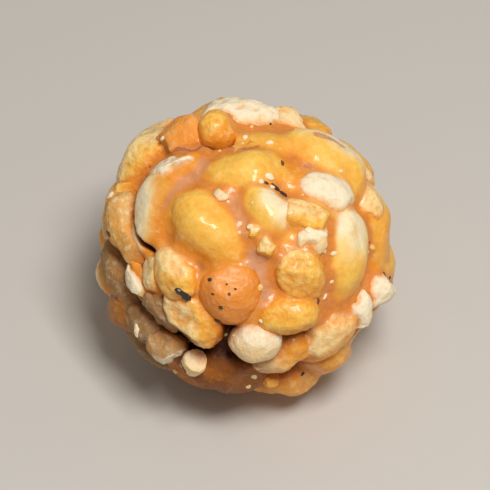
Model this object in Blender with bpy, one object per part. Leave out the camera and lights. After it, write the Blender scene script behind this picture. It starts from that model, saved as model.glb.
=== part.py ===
"""Peanut ladoo: roasted peanut kernels, split halves and broken bits, bound in set
jaggery and rolled into a ball between the palms.

It is one solid: a lumpy core of jaggery with the kernels fused on, pressed a little
flat underneath, where it rests. Metres, +Z up. The origin is the middle of the
footprint, on the resting surface, and the side best seen faces -Y and upwards.
"""

import math
import random
from dataclasses import dataclass

import bmesh
import bpy
from mathutils import Matrix, Vector, noise

MM = 0.001

# The ball, over the kernels, and how high its middle stands over the resting surface.
BALL_RADIUS = 22.0 * MM
BALL_CENTRE = Vector((0.10, 0.33, 19.4)) * MM
CORE_RADIUS = 19.5 * MM
CORE_LUMP = 0.7 * MM
CORE_LUMP_SPAN = 9.0 * MM
CORE_ROUNDS = 3

# Jaggery that settled underneath fills the gaps between the kernels there.
FOOT_SWELL = 1.6 * MM
FOOT_ANGLE = math.radians(42)
FOOT_STEEPNESS = 2.0

# A kernel of the bold kind, and how its cross-section narrows towards the root end.
KERNEL_LENGTH = 13.2 * MM
KERNEL_WIDTH = 8.6 * MM
KERNEL_TAPER = 0.14
KERNEL_FULLNESS = 2.3
KERNEL_SEGMENTS = 12
KERNEL_RINGS = 8
BIT_SEGMENTS = 8
BIT_RINGS = 6
ON_AXIS = 1e-6
CUT_WELD = 1e-7

# A broken piece is cut across at both ends: how far each cut leans sideways and
# upwards, and how far out it lies against the length.
CHUNK_SIDE_LEAN = 0.5
CHUNK_TOP_LEAN = (0.1, 0.6)
CHUNK_CUT = (0.26, 0.4)

# Pieces shorter than this have fewer sides, and their middles stand no higher over the
# core than this share of their width.
SMALL_PIECE = 5.5 * MM
BIT_STAND = 0.30

# Faces that meet at more than this angle keep a sharp edge.
SHARP_ANGLE = math.radians(40)

# Golden roasted peanut under a thin glaze of jaggery.
GLAZED_COLOUR = (0.72, 0.33, 0.07, 1)
GLAZED_ROUGHNESS = 0.32

# The side best seen is looked at from this far above the horizon, along +Y.
SEEN_FROM = math.radians(50)
SEEN_RADIUS = 21.0 * MM
SEEN_EDGE = 0.985 * SEEN_RADIUS
TO_EYE = Vector((0.0, -math.cos(SEEN_FROM), math.sin(SEEN_FROM)))
ACROSS = Vector((1.0, 0.0, 0.0))
UPWARD = TO_EYE.cross(ACROSS)

# The rest of the ball is covered by a seeded rule.
SEED = 11
DRAWS = 240
TURNS_TRIED = 8
KERNEL_CROWDING = 2.7 * MM
BIT_CROWDING = 0.5 * MM
MOST_KERNELS = 70
MOST_BITS = 16
SHOWN_LIMIT = 0.28
LIFT_SPREAD = 0.5 * MM
DIP_SPREAD = math.radians(12)


@dataclass
class Piece:
    """One kernel or part of one. across and up place it on the side best seen, turn is
    its long axis there, in degrees anticlockwise from across, and dip is how far the
    end that turn points to leans out of the ball, in degrees."""

    name: str
    across: float
    up: float
    turn: float
    length: float
    width: float
    form: str = "whole"
    lift: float = 0.0
    dip: float = 0.0


# The side best seen, in millimetres from the middle of the ball.
SHOWN = (
    Piece("belly", -6.2, 2.9, 138, 12.9, 9.0, "whole", 0.3),
    Piece("right_tall", 15.2, -0.7, 92, 13.4, 8.8, "whole", 0.4),
    Piece("upper_right", 12.6, 13.4, -24, 13.4, 9.4, "whole", 0.9),
    Piece("upper_middle", 0.0, 11.7, 8, 11.4, 7.2, "half", -0.3),
    Piece("left_tall", -14.0, 5.4, 84, 12.4, 7.8, "whole", 0.2),
    Piece("far_left", -18.2, 2.4, -54, 13.2, 8.4, "whole", 0.4, -30),
    Piece("upper_left", -15.6, 15.2, 52, 14.0, 8.8, "whole", 1.1),
    Piece("skin_top", -9.5, 17.0, 12, 10.4, 7.4, "chunk", 0.1),
    Piece("ball_end", -4.5, 17.7, 60, 11.0, 6.0, "end", 1.2),
    Piece("top_rim", -1.0, 20.2, 184, 12.4, 7.0, "whole", 0.3),
    Piece("top_rim_right", 6.8, 19.4, 158, 6.8, 4.8, "whole", -0.3),
    Piece("pale_patch", -11.0, 11.5, 12, 8.2, 4.2, "half", 0.2),
    Piece("pale_half", 12.4, 8.1, -8, 9.2, 6.8, "half", 0.3),
    Piece("under_syrup_top", 2.4, 16.4, -8, 11.0, 7.0, "whole", -1.9),
    Piece("under_syrup", 7.2, 10.8, -36, 10.0, 7.0, "whole", -2.1),
    Piece("under_syrup_low", 6.4, 0.6, 70, 9.0, 7.0, "whole", -1.9),
    Piece("middle", 3.0, 5.6, -56, 7.9, 5.4, "half", 0.1),
    Piece("wedge", 8.4, 4.4, -12, 9.2, 5.2, "chunk", 0.0),
    Piece("crumb", 9.8, 1.2, 20, 7.2, 5.2, "chunk", 0.2),
    Piece("round_right", 8.5, -4.1, 125, 9.0, 7.2, "whole", 0.8, 8),
    Piece("skin_spotted", -2.4, -7.2, 104, 9.8, 10.0, "whole", 0.4),
    Piece("low_gold", 6.4, -10.1, 4, 9.4, 6.8, "half", 0.7),
    Piece("pale_round", 1.4, -14.1, 8, 7.6, 6.8, "whole", 0.7),
    Piece("low_right", 12.6, -13.2, 62, 11.4, 8.2, "whole", 0.4),
    Piece("low_edge", 6.0, -17.0, 42, 10.4, 7.4, "half", -0.5),
    Piece("left_yellow", -10.4, -3.9, -52, 8.6, 6.2, "half", 0.4),
    Piece("left_patch", -8.6, -10.4, -72, 11.6, 7.6, "whole", 0.2),
    Piece("left_thin", -13.6, -4.4, 78, 6.4, 4.4, "half", -0.4),
    Piece("left_small", -16.2, -4.9, -50, 5.8, 3.8, "half", -0.2),
    Piece("left_notch", -18.0, 7.6, 40, 4.8, 3.8, "chunk", 0.0),
    Piece("left_dim", -13.2, -9.2, -70, 8.4, 5.4, "half", -0.7),
    Piece("low_left", -15.0, -12.8, -62, 10.2, 7.2, "whole", 0.2),
    Piece("low_left_rim", -11.8, -14.6, 14, 6.6, 5.0, "chunk", 0.5),
    Piece("bottom", -3.6, -19.6, 8, 12.8, 8.4, "whole", 0.2),
    Piece("bottom_tip", -7.5, -17.0, 70, 5.6, 3.6, "chunk", 0.1),
    Piece("right_limb", 20.0, 2.8, 86, 13.2, 8.4, "whole", 0.0),
    Piece("right_shoulder", 18.4, 6.9, -60, 7.4, 5.6, "half", 0.2),
    Piece("pale_right", 19.2, -6.2, 20, 7.6, 4.4, "chunk", 0.6, 30),
    Piece("pale_right_low", 16.4, -9.3, -60, 7.0, 5.0, "chunk", 0.5),
    Piece("chip_high", -3.8, 7.6, 30, 2.8, 2.2, "chunk", 0.0),
    Piece("chip_middle", 1.2, 2.5, 10, 3.2, 2.4, "chunk", -0.1),
    Piece("chip_low", 3.0, 0.1, 70, 3.4, 2.6, "chunk", -0.1),
)

# What the rule draws for the rest: form, share, least and most length against a kernel.
# Its widths are against a kernel's, and no wider than a share of its own length; a
# bit's are against its own length.
DRAWN_KERNELS = (
    ("whole", 0.50, 0.90, 1.08),
    ("half", 0.20, 0.88, 1.04),
    ("open", 0.06, 0.85, 1.00),
    ("edge", 0.08, 0.85, 1.00),
    ("end", 0.06, 0.85, 0.95),
    ("chunk", 0.10, 0.62, 0.80),
)
KERNEL_WIDTHS = (0.90, 1.06)
WIDEST = 0.82
BIT_LENGTHS = (2.6 * MM, 5.4 * MM)
BIT_WIDTHS = (0.65, 0.9)


@dataclass
class Seat:
    """Where a piece sits: the way out of the ball, and the way that its length lies."""

    out: Vector
    along: Vector
    length: float
    width: float
    form: str
    lift: float
    dip: float

    @property
    def foot(self):
        """The point of the ball's surface that the piece sits at."""
        return self.out * BALL_RADIUS

    @property
    def reach(self):
        """Half the mean of the piece's length and width, as it lies."""
        if self.form == "end":
            return self.width / 2
        if self.form == "edge":
            return (self.length + self.width / 2) / 4
        return (self.length + self.width) / 4


def tangent(out, way):
    """way laid down on the plane across out."""
    flat = way - out * way.dot(out)
    return flat.normalized()


def shown_seat(piece):
    """The seat of a piece of the side best seen."""
    flat = Vector((piece.across, piece.up)) * MM
    flat *= min(1.0, SEEN_EDGE / max(flat.length, MM))
    depth = math.sqrt(SEEN_RADIUS**2 - flat.length_squared)
    out = (ACROSS * flat.x + UPWARD * flat.y + TO_EYE * depth).normalized()
    turn = math.radians(piece.turn)
    along = tangent(out, ACROSS * math.cos(turn) + UPWARD * math.sin(turn))
    length, width, lift = piece.length * MM, piece.width * MM, piece.lift * MM
    return Seat(out, along, length, width, piece.form, lift, math.radians(piece.dip))


def random_way(draw):
    """A direction drawn evenly over the sphere."""
    height = draw.uniform(-1, 1)
    around = draw.uniform(0, 2 * math.pi)
    ring = math.sqrt(1 - height * height)
    return Vector((ring * math.cos(around), ring * math.sin(around), height))


def clearance(out, reach, seats):
    """How far a piece of this reach stays clear of its nearest neighbour. The side
    best seen takes no more pieces."""
    if out.dot(TO_EYE) > SHOWN_LIMIT:
        return -BALL_RADIUS
    foot = out * BALL_RADIUS
    return min((foot - seat.foot).length - seat.reach - reach for seat in seats)


def clear_turn(draw, out, length, seats):
    """The way to lie, of those tried, that keeps the piece's ends furthest from others."""
    start = draw.uniform(0, math.pi)
    side = tangent(out, out.orthogonal())
    across = out.cross(side)
    foot = out * BALL_RADIUS
    best, best_room = side, -1.0
    for step in range(TURNS_TRIED):
        angle = start + step * math.pi / TURNS_TRIED
        way = side * math.cos(angle) + across * math.sin(angle)
        room = min(
            (foot + way * end * length / 2 - seat.foot).length
            for seat in seats
            for end in (-1, 1)
        )
        if room > best_room:
            best, best_room = way, room
    return best


def drawn_piece(draw):
    """Form, length and width of a drawn kernel."""
    pick = draw.random()
    for form, share, least, most in DRAWN_KERNELS:
        pick -= share
        if pick <= 0:
            break
    length = KERNEL_LENGTH * draw.uniform(least, most)
    width = min(KERNEL_WIDTH * draw.uniform(*KERNEL_WIDTHS), length * WIDEST)
    return form, length, width


def drawn_bit(draw):
    """Form, length and width of a drawn bit."""
    length = draw.uniform(*BIT_LENGTHS)
    return "chunk", length, length * draw.uniform(*BIT_WIDTHS)


def cover(seats, draw, drawn, crowding, most):
    """Adds pieces where the ball is barest, until the gaps are too small for one."""
    for _ in range(most):
        form, length, width = drawn(draw)
        reach = (length + width) / 4
        out = max(
            (random_way(draw) for _ in range(DRAWS)),
            key=lambda way: clearance(way, reach, seats),
        )
        if clearance(out, reach, seats) < -crowding:
            continue
        along = clear_turn(draw, out, length, seats)
        lift = draw.uniform(-LIFT_SPREAD, LIFT_SPREAD)
        dip = draw.uniform(-DIP_SPREAD, DIP_SPREAD)
        seats.append(Seat(out, along, length, width, form, lift, dip))


def all_seats():
    """The seats of the side best seen, then those that the rule adds."""
    draw = random.Random(SEED)
    seats = [shown_seat(piece) for piece in SHOWN]
    cover(seats, draw, drawn_piece, KERNEL_CROWDING, MOST_KERNELS)
    cover(seats, draw, drawn_bit, BIT_CROWDING, MOST_BITS)
    return seats


def girth(share):
    """A kernel's half-width at a share of its half-length, from -1 at the root end."""
    full = (1 - abs(share) ** KERNEL_FULLNESS) ** 0.5 if abs(share) < 1 else 0.0
    return full * (1 + KERNEL_TAPER * share)


def slice_off(mesh, point, away):
    """Cuts a closed mesh by a plane, drops what lies on the away side and closes it."""
    cut = bmesh.ops.bisect_plane(
        mesh,
        geom=mesh.verts[:] + mesh.edges[:] + mesh.faces[:],
        dist=CUT_WELD,
        plane_co=point,
        plane_no=away,
        clear_outer=True,
    )
    rim = [item for item in cut["geom_cut"] if isinstance(item, bmesh.types.BMEdge)]
    if rim:
        bmesh.ops.edgeloop_fill(mesh, edges=rim)


def kernel(length, width, form, draw):
    """A kernel or part of one, lying along X, with the side that faces out up +Z."""
    small = length < SMALL_PIECE
    mesh = bmesh.new()
    bmesh.ops.create_uvsphere(
        mesh,
        u_segments=BIT_SEGMENTS if small else KERNEL_SEGMENTS,
        v_segments=BIT_RINGS if small else KERNEL_RINGS,
        radius=1,
    )
    for vert in mesh.verts:
        share = max(-1.0, min(1.0, vert.co.z))
        ring = Vector((vert.co.x, vert.co.y))
        ring = ring.normalized() * girth(share) if ring.length > ON_AXIS else ring
        vert.co = (share * length / 2, ring.x * width / 2, ring.y * width / 2)
    if form in ("half", "open", "edge"):
        slice_off(mesh, (0, 0, 0), (0, 0, -1))
    if form == "chunk":
        for end in (1, -1):
            side_lean = draw.uniform(-CHUNK_SIDE_LEAN, CHUNK_SIDE_LEAN)
            lean = Vector((end, side_lean, draw.uniform(*CHUNK_TOP_LEAN)))
            slice_off(mesh, lean.normalized() * length * draw.uniform(*CHUNK_CUT), lean)
    mesh.normal_update()
    bmesh.ops.recalc_face_normals(mesh, faces=mesh.faces[:])
    return mesh


# How each form is turned about its length and how deep its own middle lies under the
# top, against its length and its width.
POSES = {
    "whole": (0, 0.0, 0.50),
    "half": (0, 0.0, 0.50),
    "open": (180, 0.0, 0.10),
    "edge": (80, 0.0, 0.50),
    "end": (0, 0.5, 0.0),
    "chunk": (0, 0.0, 0.42),
}


def placed(seat):
    """The matrix that takes a kernel as modelled to its seat."""
    roll, of_length, of_width = POSES[seat.form]
    side = seat.out.cross(seat.along)
    along = seat.along * math.cos(seat.dip) + seat.out * math.sin(seat.dip)
    turned = Matrix((along, side, along.cross(side))).transposed().to_4x4()
    if seat.form == "end":
        turned = turned @ Matrix.Rotation(math.radians(-90), 4, "Y")
    depth = of_length * seat.length + of_width * seat.width
    height = BALL_RADIUS + seat.lift - depth
    if seat.length < SMALL_PIECE:
        height = min(height, CORE_RADIUS + BIT_STAND * seat.width)
    place = Matrix.Translation(BALL_CENTRE + seat.out * height)
    return place @ turned @ Matrix.Rotation(math.radians(roll), 4, "X")


def kernel_object(name, seat, draw):
    """One kernel at its seat, as an object that the core is joined with."""
    shape = kernel(seat.length, seat.width, seat.form, draw)
    shape.transform(placed(seat))
    mesh = bpy.data.meshes.new(name)
    shape.to_mesh(mesh)
    shape.free()
    return bpy.data.objects.new(name, mesh)


def core_object(name):
    """The jaggery core: a ball with low lumps."""
    shape = bmesh.new()
    bmesh.ops.create_icosphere(shape, subdivisions=CORE_ROUNDS, radius=CORE_RADIUS)
    for vert in shape.verts:
        out = vert.co.normalized()
        lump = CORE_LUMP * noise.noise(vert.co / CORE_LUMP_SPAN)
        under = max(0.0, 1 - math.acos(max(-1.0, min(1.0, -out.z))) / FOOT_ANGLE)
        vert.co += out * (lump + FOOT_SWELL * min(1.0, FOOT_STEEPNESS * under))
    bmesh.ops.translate(shape, verts=shape.verts[:], vec=BALL_CENTRE)
    mesh = bpy.data.meshes.new(name)
    shape.to_mesh(mesh)
    shape.free()
    return bpy.data.objects.new(name, mesh)


def settle_modifiers(obj):
    """Applies the object's modifiers to its mesh."""
    graph = bpy.context.evaluated_depsgraph_get()
    made = bpy.data.meshes.new_from_object(obj.evaluated_get(graph))
    obj.modifiers.clear()
    obj.data = made


def fuse(body, pieces):
    """Joins every piece to the body in one union, and removes the pieces."""
    group = bpy.data.collections.new("kernels")
    bpy.context.scene.collection.children.link(group)
    for piece in pieces:
        group.objects.link(piece)
    union = body.modifiers.new("fuse", "BOOLEAN")
    union.operation = "UNION"
    union.operand_type = "COLLECTION"
    union.collection = group
    union.solver = "EXACT"
    settle_modifiers(body)
    for piece in pieces:
        bpy.data.objects.remove(piece)
    bpy.data.collections.remove(group)


def press_flat(body):
    """Cuts the body level with the resting surface."""
    depth = BALL_RADIUS
    span = 3 * BALL_RADIUS
    shape = bmesh.new()
    bmesh.ops.create_cube(shape, size=1)
    bmesh.ops.scale(shape, verts=shape.verts[:], vec=(span, span, depth))
    bmesh.ops.translate(shape, verts=shape.verts[:], vec=(0, 0, -depth / 2))
    mesh = bpy.data.meshes.new("surface")
    shape.to_mesh(mesh)
    shape.free()
    surface = bpy.data.objects.new("surface", mesh)
    bpy.context.scene.collection.objects.link(surface)
    cut = body.modifiers.new("press", "BOOLEAN")
    cut.operation = "DIFFERENCE"
    cut.object = surface
    cut.solver = "EXACT"
    settle_modifiers(body)
    bpy.data.objects.remove(surface)


def shells(shape):
    """The connected sets of faces of a mesh."""
    left = set(shape.faces)
    while left:
        found, edge = set(), [left.pop()]
        while edge:
            face = edge.pop()
            found.add(face)
            for side in face.edges:
                if len(side.link_faces) != 2:
                    continue
                for other in side.link_faces:
                    if other in left:
                        left.remove(other)
                        edge.append(other)
        yield found


def keep_outer_shell(body):
    """Fills hollows sealed by the union and drops loose scraps: only the largest
    shell stays."""
    shape = bmesh.new()
    shape.from_mesh(body.data)
    bmesh.ops.triangulate(shape, faces=shape.faces[:])
    parts = sorted(shells(shape), key=len)
    spare = [face for part in parts[:-1] for face in part]
    bmesh.ops.delete(shape, geom=spare, context="FACES")
    shape.to_mesh(body.data)
    shape.free()


def glazed_finish():
    """The ladoo's one material."""
    finish = bpy.data.materials.new("glazed_peanut")
    finish.use_nodes = True
    shader = finish.node_tree.nodes["Principled BSDF"]
    shader.inputs["Base Color"].default_value = GLAZED_COLOUR
    shader.inputs["Roughness"].default_value = GLAZED_ROUGHNESS
    shader.inputs["Metallic"].default_value = 0.0
    return finish


def build():
    for old in list(bpy.data.objects):
        bpy.data.objects.remove(old)
    draw = random.Random(SEED + 1)
    ladoo = core_object("ladoo")
    bpy.context.scene.collection.objects.link(ladoo)
    seats = all_seats()
    fuse(
        ladoo, [kernel_object(f"k{i}", seat, draw) for i, seat in enumerate(seats)]
    )
    press_flat(ladoo)
    keep_outer_shell(ladoo)
    ladoo.data.materials.clear()
    ladoo.data.materials.append(glazed_finish())
    ladoo.data.shade_smooth()
    ladoo.data.set_sharp_from_angle(angle=SHARP_ANGLE)
    return ladoo


build()
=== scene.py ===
import math
import random
from collections import namedtuple

import bmesh
import bpy
from mathutils import Matrix, Vector, noise
from mathutils.bvhtree import BVHTree


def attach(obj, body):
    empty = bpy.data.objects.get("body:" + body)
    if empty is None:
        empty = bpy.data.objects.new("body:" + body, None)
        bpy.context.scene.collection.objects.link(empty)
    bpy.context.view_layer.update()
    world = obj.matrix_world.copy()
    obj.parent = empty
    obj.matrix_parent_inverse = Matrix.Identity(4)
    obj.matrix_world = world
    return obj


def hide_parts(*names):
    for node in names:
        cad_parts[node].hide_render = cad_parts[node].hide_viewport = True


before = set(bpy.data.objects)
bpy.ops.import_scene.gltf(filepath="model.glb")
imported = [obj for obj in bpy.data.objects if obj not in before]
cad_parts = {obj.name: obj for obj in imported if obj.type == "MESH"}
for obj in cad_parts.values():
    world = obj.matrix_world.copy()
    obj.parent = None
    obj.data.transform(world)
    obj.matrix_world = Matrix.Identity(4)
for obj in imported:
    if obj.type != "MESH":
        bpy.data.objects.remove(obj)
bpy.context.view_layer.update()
mm = 0.001


class Wire:  # a node's socket, whose maths is written as Python sums
    def __init__(self, socket):
        self.socket = socket
        self.tree = socket.id_data

    def of(self, name):  # another output of the same node
        return Wire(self.socket.node.outputs[name])

    def maths(self, operation, *values):
        return node(self.tree, "ShaderNodeMath", {"operation": operation}, *values)

    def __gt__(self, other):
        return self.maths("GREATER_THAN", self, other)

    def least(self, other):
        return self.maths("MINIMUM", self, other)

    def most(self, other):
        return self.maths("MAXIMUM", self, other)

    def share(self):  # kept between 0 and 1
        return self.least(1.0).most(0.0)

    def sign(self):
        return self.maths("SIGN", self)


def overload(symbol, operation):  # the operator with the socket on its left, and on its right
    setattr(Wire, f"__{symbol}__", lambda self, other: self.maths(operation, self, other))
    setattr(Wire, f"__r{symbol}__", lambda self, other: self.maths(operation, other, self))


for symbol, operation in (("add", "ADD"), ("sub", "SUBTRACT"), ("mul", "MULTIPLY"), ("truediv", "DIVIDE")):
    overload(symbol, operation)


def node(tree, kind, settings=None, *values, **named):  # any node: settings, then what its sockets take
    made = tree.nodes.new(kind)
    for name, value in (settings or {}).items():
        setattr(made, name, value)
    for place, value in [*enumerate(values), *named.items()]:
        if value is not None:
            plug(made.inputs[place if isinstance(place, int) else place.replace("_", " ")], value)
    return Wire(made.outputs[0])


def plug(socket, value):
    if isinstance(value, Wire):
        value.tree.links.new(value.socket, socket)
    else:
        socket.default_value = value


def vectorMaths(operation, a, b=None):
    made = node(a.tree, "ShaderNodeVectorMath", {"operation": operation}, a, b)
    return made.of("Value") if operation in ("DOT_PRODUCT", "LENGTH") else made


def scaled(vector, factor):
    return node(vector.tree, "ShaderNodeVectorMath", {"operation": "SCALE"}, vector, Scale=factor)


def parts(vector):
    split = node(vector.tree, "ShaderNodeSeparateXYZ", None, vector)
    return split, split.of("Y"), split.of("Z")


def ease(value, low, high):  # 0 below low, 1 above high, smooth between
    settings = {"interpolation_type": "SMOOTHSTEP"}
    return node(value.tree, "ShaderNodeMapRange", settings, value, low, high, 0.0, 1.0)


def newTree(name, sockets):
    tree = bpy.data.node_groups.new(name, "GeometryNodeTree")
    tree.interface.new_socket("Geometry", in_out="INPUT", socket_type="NodeSocketGeometry")
    for label, kind in sockets.items():
        tree.interface.new_socket(label, in_out="INPUT", socket_type="NodeSocket" + kind)
    tree.interface.new_socket("Geometry", in_out="OUTPUT", socket_type="NodeSocketGeometry")
    return tree, Wire(tree.nodes.new("NodeGroupInput").outputs[0])


def finishTree(geometry, given, smooth=True):
    tree = geometry.tree
    whole = node(tree, "GeometryNodeRealizeInstances", None, geometry)
    whole = node(tree, "GeometryNodeSetShadeSmooth", None, whole, Shade_Smooth=smooth)
    whole = node(tree, "GeometryNodeSetMaterial", None, whole, Material=given.of("Material"))
    plug(tree.nodes.new("NodeGroupOutput").inputs[0], whole)
    return tree


def runTree(obj, tree, inputs):  # the object's mesh becomes what the tree makes of it
    modifier = obj.modifiers.new(tree.name, "NODES")
    modifier.node_group = tree
    for item in tree.interface.items_tree:
        if item.in_out == "INPUT" and item.name in inputs:
            modifier[item.identifier] = inputs[item.name]
    settle(obj)


def settle(obj):
    graph = bpy.context.evaluated_depsgraph_get()
    made = bpy.data.meshes.new_from_object(obj.evaluated_get(graph))
    obj.modifiers.clear()
    obj.data = made


def geometryOf(source):
    return node(source.tree, "GeometryNodeObjectInfo", None, source).of("Geometry")


def laidOn(points, shape, turn, size, chosen=None):
    kind = "GeometryNodeInstanceOnPoints"
    return node(points.tree, kind, None, points, chosen, shape, Rotation=turn, Scale=size)


def readMark(tree, name, kind="FLOAT"):
    return node(tree, "GeometryNodeInputNamedAttribute", {"data_type": kind}, name)


def store(geometry, name, value):
    settings = {"data_type": "FLOAT", "domain": "POINT"}
    return node(geometry.tree, "GeometryNodeStoreNamedAttribute", settings, geometry, Name=name, Value=value)


def blurred(value, kind, steps):
    return node(value.tree, "GeometryNodeBlurAttribute", {"data_type": kind}, value, steps)


def moved(geometry, offset):
    return node(geometry.tree, "GeometryNodeSetPosition", None, geometry, Offset=offset)


def raised(geometry, place):  # what dips under the floor is lifted up to it
    below = parts(place)[2].least(0.0) * -1.0
    return moved(geometry, node(geometry.tree, "ShaderNodeCombineXYZ", None, 0.0, 0.0, below))


def noiseAt(place, span, own=0.0, detail=1.0):  # about -1 to 1; own picks another pattern
    settings = {"noise_dimensions": "4D"}
    field = node(place.tree, "ShaderNodeTexNoise", settings, place, W=own, Scale=1 / span, Detail=detail)
    return field * 2.0 - 1.0


def addObject(name, data):
    obj = bpy.data.objects.new(name, data)
    bpy.context.scene.collection.objects.link(obj)
    return obj


def meshOf(name, shape):
    mesh = bpy.data.meshes.new(name)
    shape.to_mesh(mesh)
    shape.free()
    return mesh


def rgb(red, green, blue):  # screen colour, 0 to 255, as light
    def light(value):
        value /= 255
        return value / 12.92 if value <= 0.04045 else ((value + 0.055) / 1.055) ** 2.4
    return (light(red), light(green), light(blue), 1.0)


# where each kernel lies, by the same rule as the solid
ball = {
    "radius": 22.0 * mm,
    "centre": Vector((0.10, 0.33, 19.4)) * mm,
    "coreRadius": 19.5 * mm,
    "coreLump": 0.7 * mm,
    "coreLumpSpan": 9.0 * mm,
    "footSwell": 1.6 * mm,
    "footAngle": math.radians(42),
    "kernelLength": 13.2 * mm,
    "kernelWidth": 8.6 * mm,
    "smallPiece": 5.5 * mm,
    "bitStand": 0.30,
    "seenFrom": math.radians(50),
    "seenRadius": 21.0 * mm,
    "seed": 11,
    "draws": 240,
    "kernelCrowding": 2.7 * mm,
    "bitCrowding": 0.5 * mm,
    "mostKernels": 70,
    "mostBits": 16,
    "shownLimit": 0.28,
    "dipSpread": math.radians(12),
    "bitLengths": (2.6 * mm, 5.4 * mm),
}
toEye = Vector((0.0, -math.cos(ball["seenFrom"]), math.sin(ball["seenFrom"])))
across = Vector((1.0, 0.0, 0.0))
upward = toEye.cross(across)

Piece = namedtuple("Piece", "name across up turn length width form lift dip finish tone")
shownPieces = [  # mm from the ball's middle, as seen; turn and dip in degrees; a tone below 0 is painted shade
    Piece("belly", -6.2, 2.9, 138, 12.9, 9.0, "whole", 0.3, 0, "coated", 0.5),
    Piece("rightTall", 15.2, -0.7, 92, 13.4, 8.8, "whole", 0.4, 0, "coated", 0.95),
    Piece("upperRight", 12.6, 13.4, -24, 13.4, 9.4, "whole", 0.9, 0, "coated", 0.65),
    Piece("upperMiddle", 0.0, 11.7, 8, 11.4, 7.2, "half", -0.3, 0, "coated", 0.8),
    Piece("leftTall", -14.0, 5.4, 84, 12.4, 7.8, "whole", 0.2, 0, "coated", -0.08),
    Piece("farLeft", -18.2, 2.4, -54, 13.2, 8.4, "whole", 0.4, -30, "roasted", 0.45),
    Piece("upperLeft", -15.6, 15.2, 52, 14.0, 8.8, "whole", 1.1, 0, "glazed", 1.0),
    Piece("skinTop", -9.5, 17.0, 12, 10.4, 7.4, "chunk", 0.1, 0, "skin", 1.5),
    Piece("ballEnd", -4.5, 17.7, 60, 11.0, 6.0, "end", 1.2, 0, "glazed", 0.3),
    Piece("topRim", -1.0, 20.2, 184, 12.4, 7.0, "whole", 0.3, 0, "bare", 0.5),
    Piece("topRimRight", 6.8, 19.4, 158, 6.8, 4.8, "whole", -0.3, 0, "bare", 0.3),
    Piece("palePatch", -11.0, 11.5, 12, 8.2, 4.2, "half", 0.2, 0, "bare", 0.8),
    Piece("paleHalf", 12.4, 8.1, -8, 9.2, 6.8, "half", 0.3, 0, "bare", 0.9),
    Piece("underSyrupTop", 2.4, 16.4, -8, 11.0, 7.0, "whole", -1.9, 0, "coated", 0.8),
    Piece("underSyrup", 7.2, 10.8, -36, 10.0, 7.0, "whole", -2.1, 0, "coated", 0.3),
    Piece("underSyrupLow", 6.4, 0.6, 70, 9.0, 7.0, "whole", -1.9, 0, "coated", 0.4),
    Piece("middle", 3.0, 5.6, -56, 7.9, 5.4, "half", 0.1, 0, "coated", 0.9),
    Piece("wedge", 8.4, 4.4, -12, 9.2, 5.2, "chunk", 0.0, 0, "glazed", 0.9),
    Piece("crumb", 9.8, 1.2, 20, 7.2, 5.2, "chunk", 0.2, 0, "bare", 0.3),
    Piece("roundRight", 8.5, -4.1, 125, 9.0, 7.2, "whole", 0.8, 8, "glazed", 0.6),
    Piece("skinSpotted", -2.4, -7.2, 104, 9.8, 10.0, "whole", 0.4, 0, "skin", 0.4),
    Piece("lowGold", 6.4, -10.1, 4, 9.4, 6.8, "half", 0.7, 0, "glazed", 1.0),
    Piece("paleRound", 1.4, -14.1, 8, 7.6, 6.8, "whole", 0.7, 0, "bare", 0.8),
    Piece("lowRight", 12.6, -13.2, 62, 11.4, 8.2, "whole", 0.4, 0, "glazed", 0.6),
    Piece("lowEdge", 6.0, -17.0, 42, 10.4, 7.4, "half", -0.5, 0, "glazed", 0.6),
    Piece("leftYellow", -10.4, -3.9, -52, 8.6, 6.2, "half", 0.4, 0, "glazed", 0.75),
    Piece("leftPatch", -8.6, -10.4, -72, 11.6, 7.6, "whole", 0.2, 0, "glazed", 0.8),
    Piece("leftThin", -13.6, -4.4, 78, 6.4, 4.4, "half", -0.4, 0, "glazed", 0.3),
    Piece("leftSmall", -16.2, -4.9, -50, 5.8, 3.8, "half", -0.2, 0, "bare", 0.2),
    Piece("leftNotch", -18.0, 7.6, 40, 4.8, 3.8, "chunk", 0.0, 0, "glazed", 0.6),
    Piece("leftDim", -13.2, -9.2, -70, 8.4, 5.4, "half", -0.7, 0, "roasted", -0.3),
    Piece("lowLeft", -15.0, -12.8, -62, 10.2, 7.2, "whole", 0.2, 0, "roasted", -0.3),
    Piece("lowLeftRim", -11.8, -14.6, 14, 6.6, 5.0, "chunk", 0.5, 0, "roasted", -0.2),
    Piece("bottom", -3.6, -19.6, 8, 12.8, 8.4, "whole", 0.2, 0, "glazed", -0.4),
    Piece("bottomTip", -7.5, -17.0, 70, 5.6, 3.6, "chunk", 0.1, 0, "bare", 0.6),
    Piece("rightLimb", 20.0, 2.8, 86, 13.2, 8.4, "whole", 0.0, 0, "coated", 0.4),
    Piece("rightShoulder", 18.4, 6.9, -60, 7.4, 5.6, "half", 0.2, 0, "glazed", 0.9),
    Piece("paleRight", 19.2, -6.2, 20, 7.6, 4.4, "chunk", 0.6, 30, "bare", 0.9),
    Piece("paleRightLow", 16.4, -9.3, -60, 7.0, 5.0, "chunk", 0.5, 0, "bare", 1.0),
    Piece("chipHigh", -3.8, 7.6, 30, 2.8, 2.2, "chunk", 0.0, 0, "bare", 0.8),
    Piece("chipMiddle", 1.2, 2.5, 10, 3.2, 2.4, "chunk", -0.1, 0, "glazed", 0.9),
    Piece("chipLow", 3.0, 0.1, 70, 3.4, 2.6, "chunk", -0.1, 0, "glazed", 1.0),
]
drawnKernels = [  # form, share of all, least and most length against a kernel
    ("whole", 0.50, 0.90, 1.08),
    ("half", 0.20, 0.88, 1.04),
    ("open", 0.06, 0.85, 1.00),
    ("edge", 0.08, 0.85, 1.00),
    ("end", 0.06, 0.85, 0.95),
    ("chunk", 0.10, 0.62, 0.80),
]
drawnFinishes = [("coated", 0.40), ("glazed", 0.38), ("bare", 0.08), ("roasted", 0.06), ("skin", 0.08)]
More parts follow.
